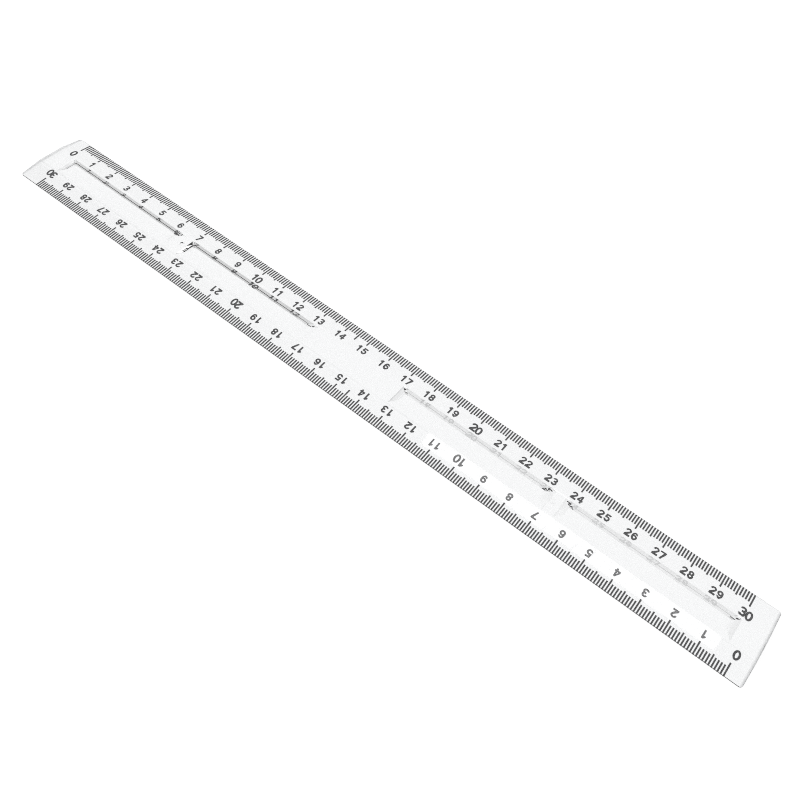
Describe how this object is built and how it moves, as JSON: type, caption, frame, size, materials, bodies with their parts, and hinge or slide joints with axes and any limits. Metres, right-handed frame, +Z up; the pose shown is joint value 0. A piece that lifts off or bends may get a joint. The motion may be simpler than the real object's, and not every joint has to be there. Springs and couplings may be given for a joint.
{
  "type": "finger-grip ruler",
  "caption": "Clear bevelled centimetre ruler with raised finger-grip ridges along its middle and a printed scale on both long edges.",
  "frame": {"origin": "centre of the flat underside that the ruler rests on", "axes": "+X along the ruler towards the far scale's 30 mark, +Y across it towards the far scale, +Z up out of the ridges"},
  "size_m": [0.3146, 0.03, 0.0025],
  "materials": {
    "clear_plastic": "clear colourless injection-moulded plastic, polished faces",
    "scale_ink": "thin black print on the underside, read through the plastic"
  },
  "bodies": {
    "root": {"ruler_body": "clear_plastic", "far_scale_millimetre_marks": "scale_ink", "far_scale_half_centimetre_marks": "scale_ink", "far_scale_centimetre_marks": "scale_ink", "far_scale_long_mark": "scale_ink", "far_scale_numerals": "scale_ink", "near_scale_millimetre_marks": "scale_ink", "near_scale_half_centimetre_marks": "scale_ink", "near_scale_centimetre_marks": "scale_ink", "near_scale_long_mark": "scale_ink", "near_scale_numerals": "scale_ink"}
  },
  "joints": []
}
